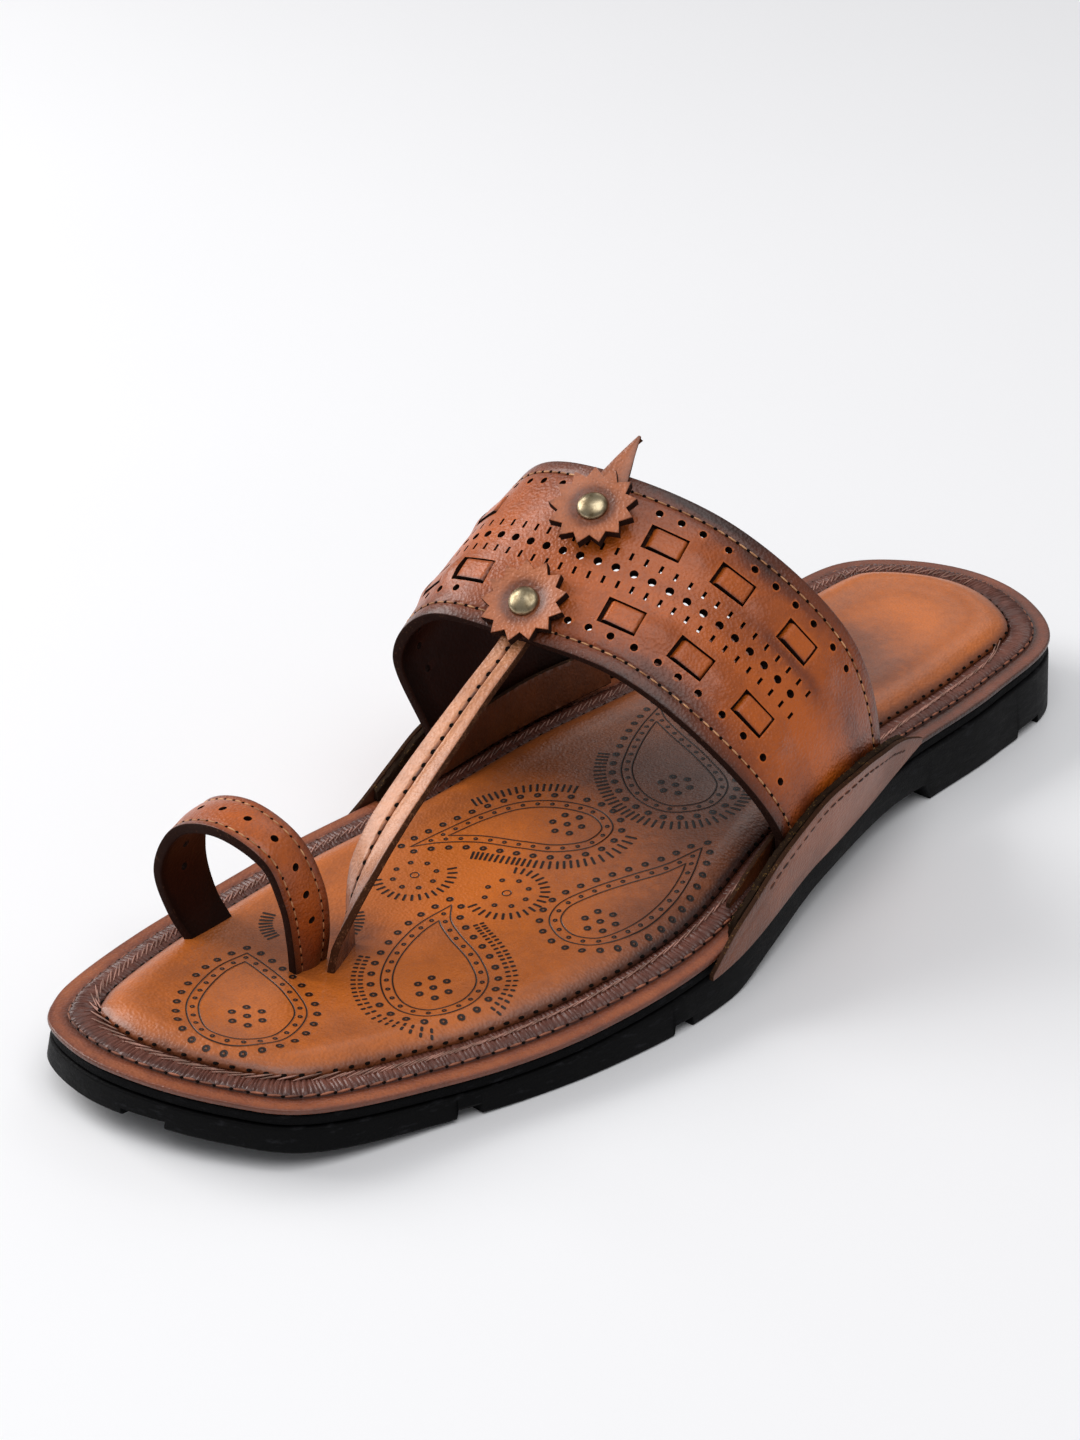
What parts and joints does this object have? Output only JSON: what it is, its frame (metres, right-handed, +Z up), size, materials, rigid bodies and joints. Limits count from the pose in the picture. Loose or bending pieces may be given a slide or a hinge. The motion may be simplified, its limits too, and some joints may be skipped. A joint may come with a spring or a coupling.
{
  "type": "kolhapuri sandal",
  "caption": "Left flat leather sandal with a wide punched instep band, a centre strap to a toe post, a big-toe loop, toothed rosettes and a padded footbed on a black rubber sole.",
  "frame": {"origin": "on the floor, under the middle of the sandal's bounding box", "axes": "+Y from toe to heel, +X towards the outer side of the foot, +Z up"},
  "size_m": [0.107, 0.2922, 0.0991],
  "materials": {
    "leather": "burnished tan, satin, darker towards edges",
    "dark_leather": "dark brown, satin",
    "raw_leather": "fibrous raw edge, matt",
    "rubber": "black moulded rubber, low sheen",
    "brass": "antique, worn bright on the crown"
  },
  "bodies": {
    "root": {"outsole": "rubber", "midsole": "rubber", "footbed_rim": "leather", "pleated_border": "dark_leather", "insole_pad": "leather", "upper_straps": "leather", "toe_loop": "leather", "flap_outer_lateral": "leather", "flap_core_lateral": "raw_leather", "flap_lining_lateral": "dark_leather", "flap_outer_medial": "leather", "flap_core_medial": "raw_leather", "flap_lining_medial": "dark_leather", "strap_point": "leather", "rosette_front": "leather", "rosette_rear": "leather", "rivet_front": "brass", "rivet_rear": "brass"}
  },
  "joints": []
}
